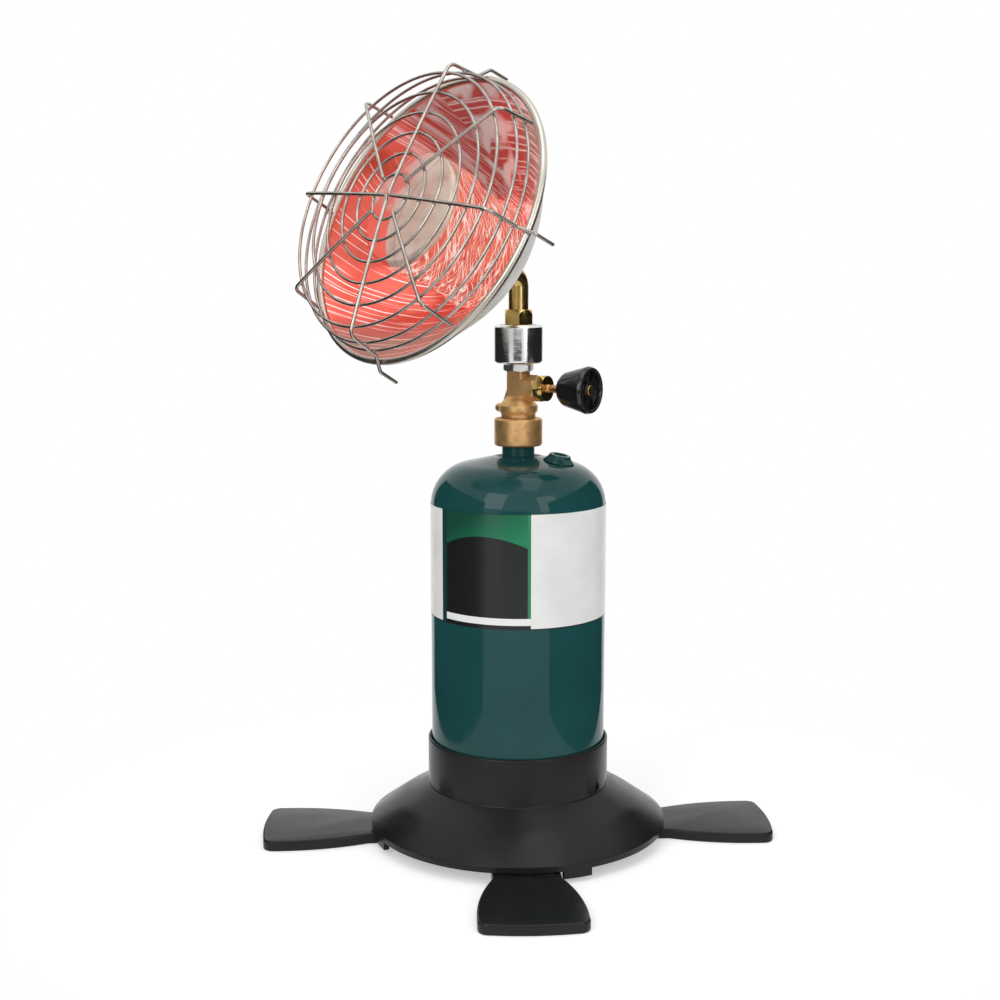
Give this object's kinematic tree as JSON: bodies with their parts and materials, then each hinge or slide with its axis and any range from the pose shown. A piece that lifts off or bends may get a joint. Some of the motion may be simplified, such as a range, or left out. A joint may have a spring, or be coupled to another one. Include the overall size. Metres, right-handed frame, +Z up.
{
  "type": "portable propane heater",
  "caption": "Bottle-top propane heater: tilted reflector dish with wire guard on a brass valve, gas bottle below, in a round base with swing-out feet.",
  "frame": {"origin": "on the bottle's axis at floor level, midway between the feet", "axes": "+Z up along the bottle, -Y the way the dish faces, +X beside the knob"},
  "size_m": [0.2496, 0.2496, 0.4265],
  "materials": {
    "black_plastic": "moulded, fine grain",
    "knob_plastic": "glossy moulded",
    "bottle_paint": "gloss enamel",
    "label": "printed film",
    "brass": "satin cast and turned",
    "zinc": "zinc plated",
    "chrome": "polished",
    "seal_rubber": "matte",
    "dish_steel": "mirror polished inside, cream outside",
    "rim_steel": "rolled bead",
    "burner_steel": "heat-tinted stainless",
    "glowing_gauze": "red hot wire gauze",
    "guard_wire": "nickel-plated wire"
  },
  "bodies": {
    "base": {"base_body": "black_plastic", "foot_screws": "zinc"},
    "front_foot": {"foot_front": "black_plastic"},
    "right_foot": {"foot_right": "black_plastic"},
    "back_foot": {"foot_back": "black_plastic"},
    "left_foot": {"foot_left": "black_plastic"},
    "bottle": {"bottle_upper_shell": "bottle_paint", "bottle_lower_shell": "bottle_paint", "bottle_neck": "bottle_paint", "valve_core": "brass", "relief_valve": "bottle_paint", "label_wrap": "label"},
    "seal": {"inlet_seal": "seal_rubber"},
    "heater": {"inlet_collar": "brass", "depressor_pin": "brass", "valve_body": "brass", "gland_nut": "brass", "jet_fitting": "zinc", "gas_jet": "brass", "air_shroud": "chrome", "mixer_body": "brass", "burner_tube": "brass", "tube_nut": "brass", "reflector_bowl": "dish_steel", "reflector_rim": "rim_steel", "burner_pan": "burner_steel", "burner_gauze": "glowing_gauze", "burner_cap": "burner_steel", "guard_anchor_wires": "guard_wire", "guard_spokes": "guard_wire", "guard_front_rings": "guard_wire", "guard_side_rings": "guard_wire"},
    "knob": {"control_knob": "knob_plastic", "knob_screw": "brass", "valve_stem": "brass"}
  },
  "joints": [
    {"name": "front_foot_swing", "type": "hinge", "parent": "base", "child": "front_foot", "pos_m": [0.05559, -0.04884, 0.004], "axis": [0, 0, -1], "range_deg": [0, 140]},
    {"name": "right_foot_swing", "type": "hinge", "parent": "base", "child": "right_foot", "pos_m": [0.04884, 0.05559, 0.004], "axis": [0, 0, -1], "range_deg": [0, 140]},
    {"name": "back_foot_swing", "type": "hinge", "parent": "base", "child": "back_foot", "pos_m": [-0.05559, 0.04884, 0.004], "axis": [0, 0, -1], "range_deg": [0, 140]},
    {"name": "left_foot_swing", "type": "hinge", "parent": "base", "child": "left_foot", "pos_m": [-0.04884, -0.05559, 0.004], "axis": [0, 0, -1], "range_deg": [0, 140]},
    {"name": "bottle_lift", "type": "slide", "parent": "base", "child": "bottle", "axis": [0, 0, 1], "range_m": [0, 0.035]},
    {"name": "heater_rise", "type": "slide", "parent": "bottle", "child": "seal", "axis": [0, 0, 1], "range_m": [0, 0.00508]},
    {"name": "heater_unscrew", "type": "hinge", "parent": "seal", "child": "heater", "pos_m": [0, 0, 0.2325], "axis": [0, 0, 1], "range_deg": [0, 1440]},
    {"name": "knob_turn", "type": "hinge", "parent": "heater", "child": "knob", "pos_m": [0, 0, 0.2575], "axis": [0.9744, 0.225, 0], "range_deg": [-360, 0]}
  ],
  "couplings": [
    {"joint": "heater_rise", "follows": "heater_unscrew", "m_per_rad": 0.00020213}
  ]
}
